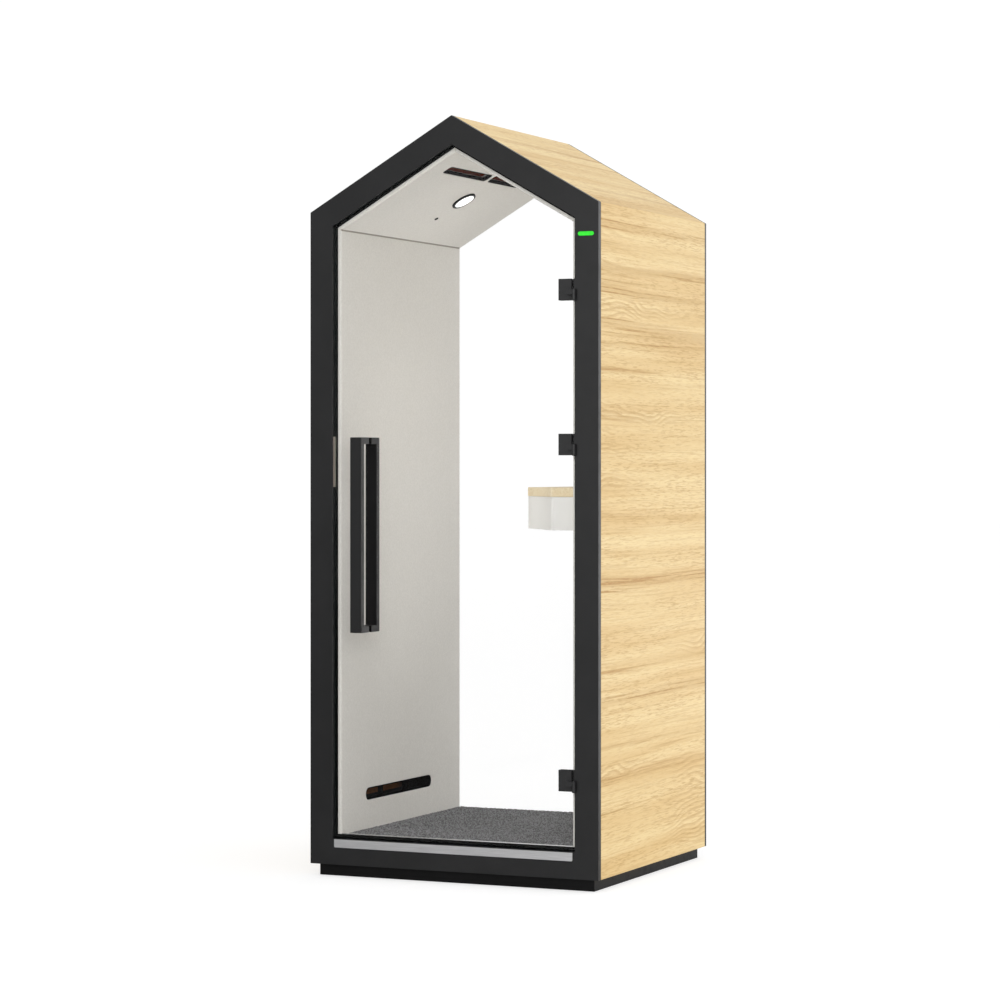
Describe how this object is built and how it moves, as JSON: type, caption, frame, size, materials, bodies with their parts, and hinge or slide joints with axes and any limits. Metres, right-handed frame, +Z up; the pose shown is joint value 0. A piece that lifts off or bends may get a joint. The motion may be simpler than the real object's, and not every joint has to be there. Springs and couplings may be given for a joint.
{
  "type": "acoustic phone booth",
  "caption": "House-shaped acoustic office phone booth with oak walls and roof, black frames, a hinged glass door with long pull handles, felt liner, carpet, shelf, light and fan vents.",
  "frame": {"origin": "on the floor, under the middle of the booth's overall box with the door shut", "axes": "+Z up, +X to the right as seen from the front, -Y towards the front, where the door is"},
  "size_m": [0.96, 0.948, 2.3171],
  "materials": {
    "black_board": "matte",
    "black_plastic": "matte",
    "hinge_metal": "satin",
    "handle_metal": "satin",
    "lamp_metal": "matte",
    "seal_rubber": "matte",
    "oak": "satin",
    "felt": "matte",
    "wood_fibre": "matte",
    "clear_glass": "polished",
    "brushed_aluminium": "satin",
    "satin_steel": "satin",
    "base_board": "matte",
    "carpet_pile": "matte",
    "shelf_paint": "satin",
    "green_lens": "gloss",
    "light_diffuser": "matte",
    "supply_case": "matte"
  },
  "bodies": {
    "shell": {"plinth_frame": "black_board", "front_frame": "black_board", "rear_frame": "black_board", "power_gland": "black_plastic", "indicator_housing": "black_plastic", "wall_vent": "black_plastic", "roof_vent_front": "black_plastic", "roof_vent_rear": "black_plastic", "fan_housing_front": "black_plastic", "fan_housing_rear": "black_plastic", "presence_sensor": "black_plastic", "hinge_leaf_bottom": "hinge_metal", "hinge_leaf_middle": "hinge_metal", "hinge_leaf_top": "hinge_metal", "hinge_pin_bottom": "hinge_metal", "hinge_pin_middle": "hinge_metal", "hinge_pin_top": "hinge_metal", "light_housing": "lamp_metal", "door_seal": "seal_rubber", "rear_glazing_seal": "seal_rubber", "left_side_panel": "oak", "right_side_panel": "oak", "left_roof_panel": "oak", "right_roof_panel": "oak", "shelf_top": "oak", "left_wall_liner": "felt", "right_wall_liner": "felt", "left_ceiling_liner": "felt", "right_ceiling_liner": "felt", "left_wall_core": "wood_fibre", "right_wall_core": "wood_fibre", "left_roof_core": "wood_fibre", "right_roof_core": "wood_fibre", "rear_glass": "clear_glass", "threshold_strip": "brushed_aluminium", "floor_edge_trim": "brushed_aluminium", "catch_plate": "satin_steel", "base_panel": "base_board", "floor_deck": "base_board", "carpet": "carpet_pile", "shelf_box": "shelf_paint", "indicator_lens": "green_lens", "light_diffuser": "light_diffuser", "power_supply": "supply_case"},
    "door": {"door_glass": "clear_glass", "door_keeper": "satin_steel", "outer_handle": "handle_metal", "inner_handle": "handle_metal", "hinge_clamp_front_bottom": "hinge_metal", "hinge_clamp_front_middle": "hinge_metal", "hinge_clamp_front_top": "hinge_metal", "hinge_clamp_rear_bottom": "hinge_metal", "hinge_clamp_rear_middle": "hinge_metal", "hinge_clamp_rear_top": "hinge_metal"},
    "front_fan": {"fan_rotor_front": "black_plastic"},
    "rear_fan": {"fan_rotor_rear": "black_plastic"},
    "foot_front_left": {"levelling_foot_front_left": "black_plastic"},
    "foot_front_right": {"levelling_foot_front_right": "black_plastic"},
    "foot_rear_left": {"levelling_foot_rear_left": "black_plastic"},
    "foot_rear_right": {"levelling_foot_rear_right": "black_plastic"}
  },
  "joints": [
    {"name": "door_hinge", "type": "hinge", "parent": "shell", "child": "door", "pos_m": [0.404, -0.4335, 1.1], "axis": [0, 0, 1], "range_deg": [0, 100]},
    {"name": "front_fan_spin", "type": "hinge", "parent": "shell", "child": "front_fan", "pos_m": [-0.10001, -0.1495, 2.21181], "axis": [-0.5, 0, 0.866], "continuous": true},
    {"name": "rear_fan_spin", "type": "hinge", "parent": "shell", "child": "rear_fan", "pos_m": [-0.10001, 0.1765, 2.21181], "axis": [-0.5, 0, 0.866], "continuous": true},
    {"name": "foot_front_left_screw", "type": "slide", "parent": "shell", "child": "foot_front_left", "axis": [0, 0, -1], "range_m": [0, 0.015]},
    {"name": "foot_front_right_screw", "type": "slide", "parent": "shell", "child": "foot_front_right", "axis": [0, 0, -1], "range_m": [0, 0.015]},
    {"name": "foot_rear_left_screw", "type": "slide", "parent": "shell", "child": "foot_rear_left", "axis": [0, 0, -1], "range_m": [0, 0.015]},
    {"name": "foot_rear_right_screw", "type": "slide", "parent": "shell", "child": "foot_rear_right", "axis": [0, 0, -1], "range_m": [0, 0.015]}
  ]
}
